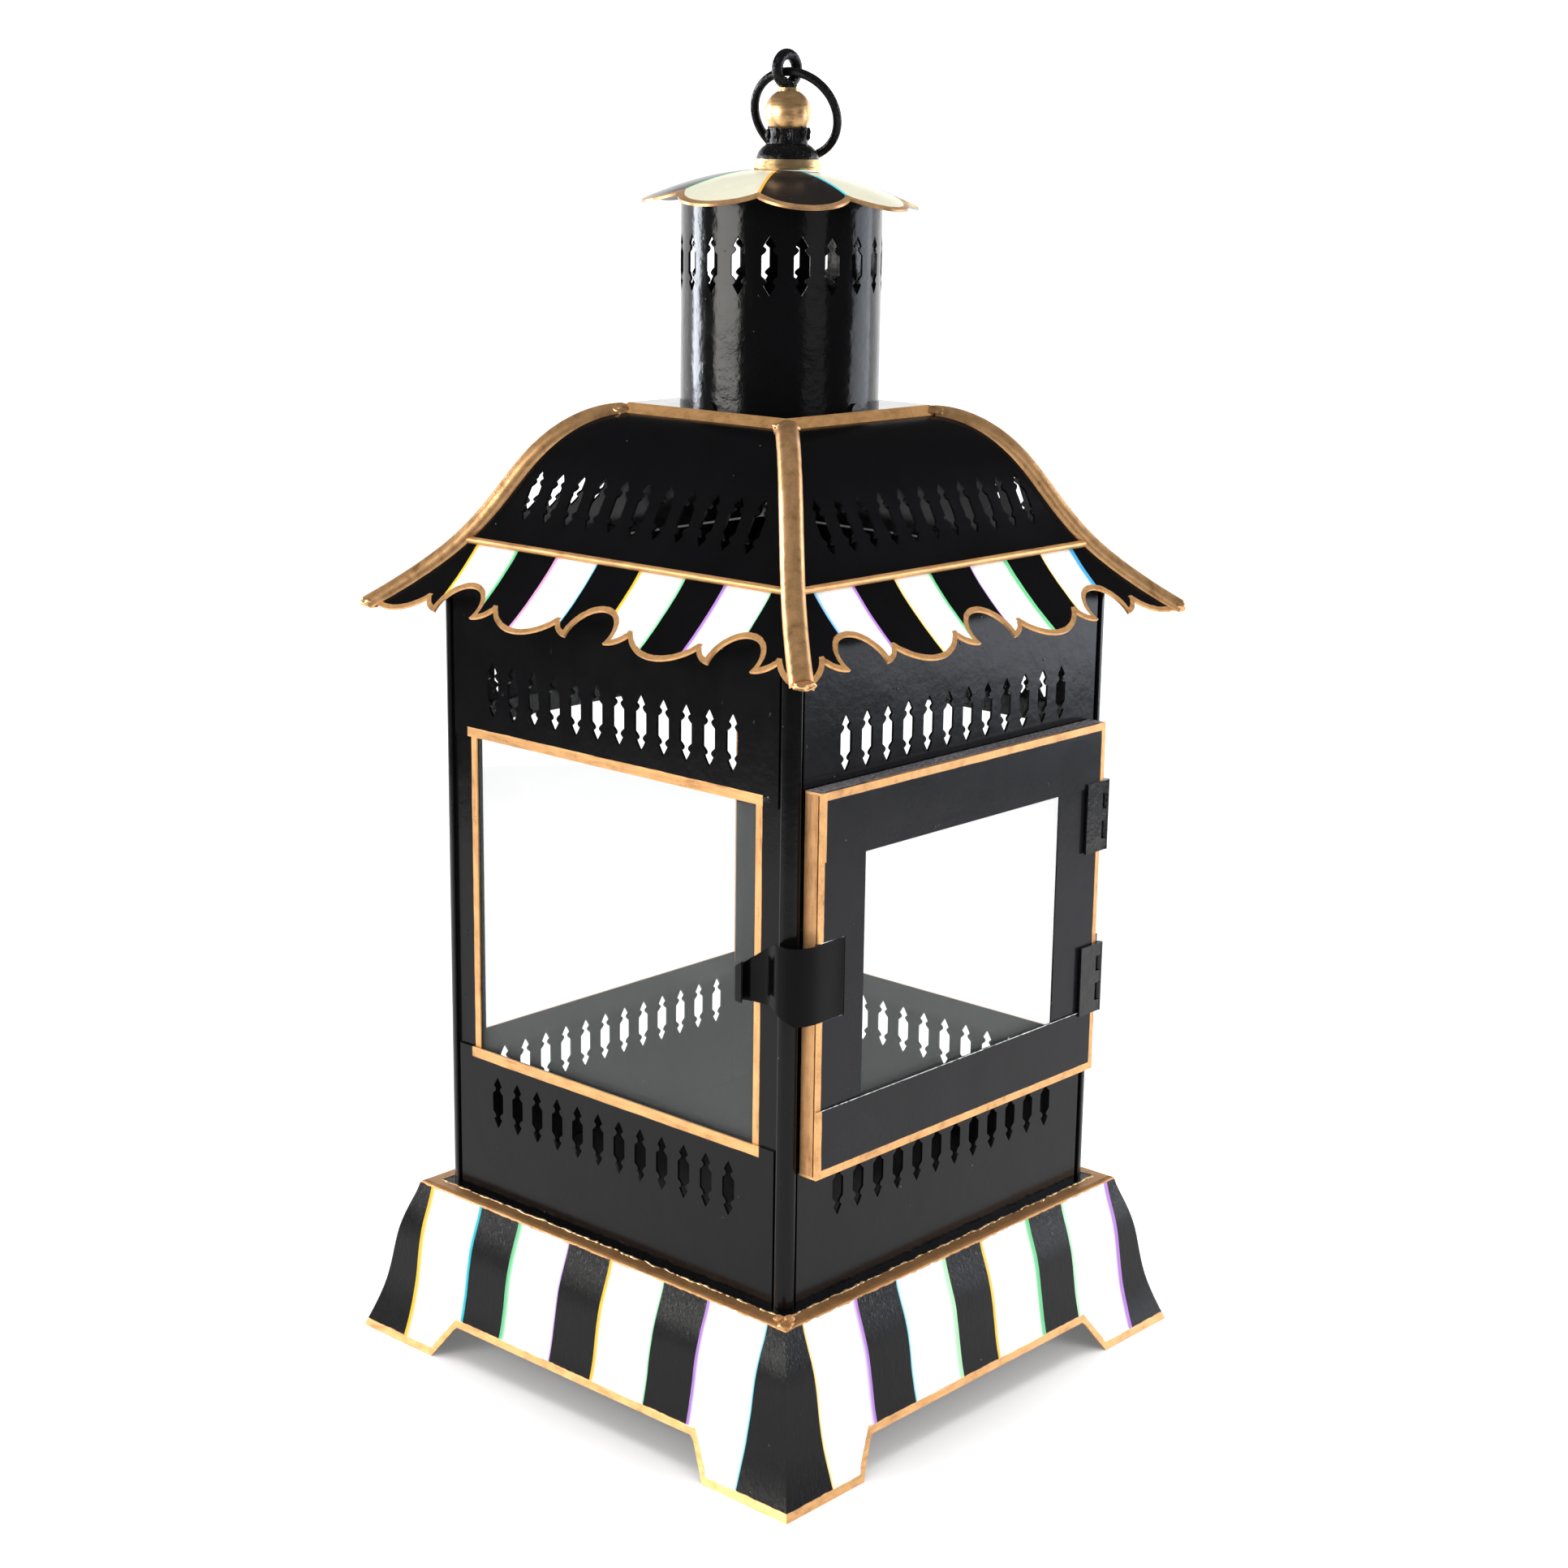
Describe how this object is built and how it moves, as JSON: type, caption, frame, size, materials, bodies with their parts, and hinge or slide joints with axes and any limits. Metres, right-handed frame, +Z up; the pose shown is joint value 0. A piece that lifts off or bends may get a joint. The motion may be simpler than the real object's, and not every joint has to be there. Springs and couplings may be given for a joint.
{
  "type": "candle lantern",
  "caption": "Square sheet-metal candle lantern on a flared skirt, with a hinged glazed door, scalloped roof, pierced chimney, petal cap and carrying ring.",
  "frame": {"origin": "centre of the footprint, at the floor the feet stand on", "axes": "+Z up, the door faces -Y, its hinges are on the +X side"},
  "size_m": [0.22, 0.22, 0.4765],
  "materials": {
    "black_enamel": "gloss black enamel with light orange peel",
    "striped_enamel": "gloss black and white striped enamel with gold edges",
    "gold_paint": "hand-brushed satin gold paint",
    "glass": "clear"
  },
  "bodies": {
    "lantern": {"skirt_panel_front": "striped_enamel", "lower_panel_front": "black_enamel", "upper_panel_front": "black_enamel", "roof_panel_front": "striped_enamel", "trim_bead_front": "gold_paint", "skirt_panel_right": "striped_enamel", "lower_panel_right": "black_enamel", "upper_panel_right": "black_enamel", "roof_panel_right": "striped_enamel", "trim_bead_right": "gold_paint", "skirt_panel_back": "striped_enamel", "lower_panel_back": "black_enamel", "upper_panel_back": "black_enamel", "roof_panel_back": "striped_enamel", "trim_bead_back": "gold_paint", "skirt_panel_left": "striped_enamel", "lower_panel_left": "black_enamel", "upper_panel_left": "black_enamel", "roof_panel_left": "striped_enamel", "trim_bead_left": "gold_paint", "corner_post_front_left": "black_enamel", "hip_rib_front_left": "gold_paint", "corner_post_front_right": "black_enamel", "hip_rib_front_right": "gold_paint", "corner_post_back_right": "black_enamel", "hip_rib_back_right": "gold_paint", "corner_post_back_left": "black_enamel", "hip_rib_back_left": "gold_paint", "window_pane_left": "glass", "window_pane_back": "glass", "window_pane_right": "glass", "floor_plate": "black_enamel", "chimney": "black_enamel", "chimney_tabs": "black_enamel", "finial_dome": "black_enamel", "finial_neck": "black_enamel", "eyelet": "black_enamel", "roof_top_plate": "gold_paint", "cap": "striped_enamel", "finial_collar": "gold_paint", "finial_ball": "gold_paint", "ball_collar": "gold_paint", "hinge_body_leaf_lower": "black_enamel", "hinge_body_leaf_upper": "black_enamel", "hinge_pins": "black_enamel"},
    "door": {"door_top_rail": "black_enamel", "door_bottom_rail": "black_enamel", "door_left_stile": "black_enamel", "door_right_stile": "black_enamel", "door_case_left": "gold_paint", "door_case_right": "gold_paint", "door_case_top": "gold_paint", "door_case_bottom": "gold_paint", "door_pane": "glass", "hinge_door_leaf_lower": "black_enamel", "hinge_door_leaf_upper": "black_enamel"},
    "latch": {"latch_spring": "black_enamel"},
    "ring": {"ring": "black_enamel"}
  },
  "joints": [
    {"name": "door_hinge", "type": "hinge", "parent": "lantern", "child": "door", "pos_m": [0.0785, -0.0932, 0.175], "axis": [0, 0, 1], "range_deg": [0, 160]},
    {"name": "latch_flex", "type": "hinge", "parent": "door", "child": "latch", "pos_m": [-0.0664, -0.0926, 0.1766], "axis": [0, 0, 1], "range_deg": [0, 12], "stiffness_Nm_per_rad": 0.4},
    {"name": "ring_swing", "type": "hinge", "parent": "lantern", "child": "ring", "pos_m": [0.0012, -0.0013, 0.46875], "axis": [0.295, -0.9555, 0], "range_deg": [0, 310]}
  ]
}
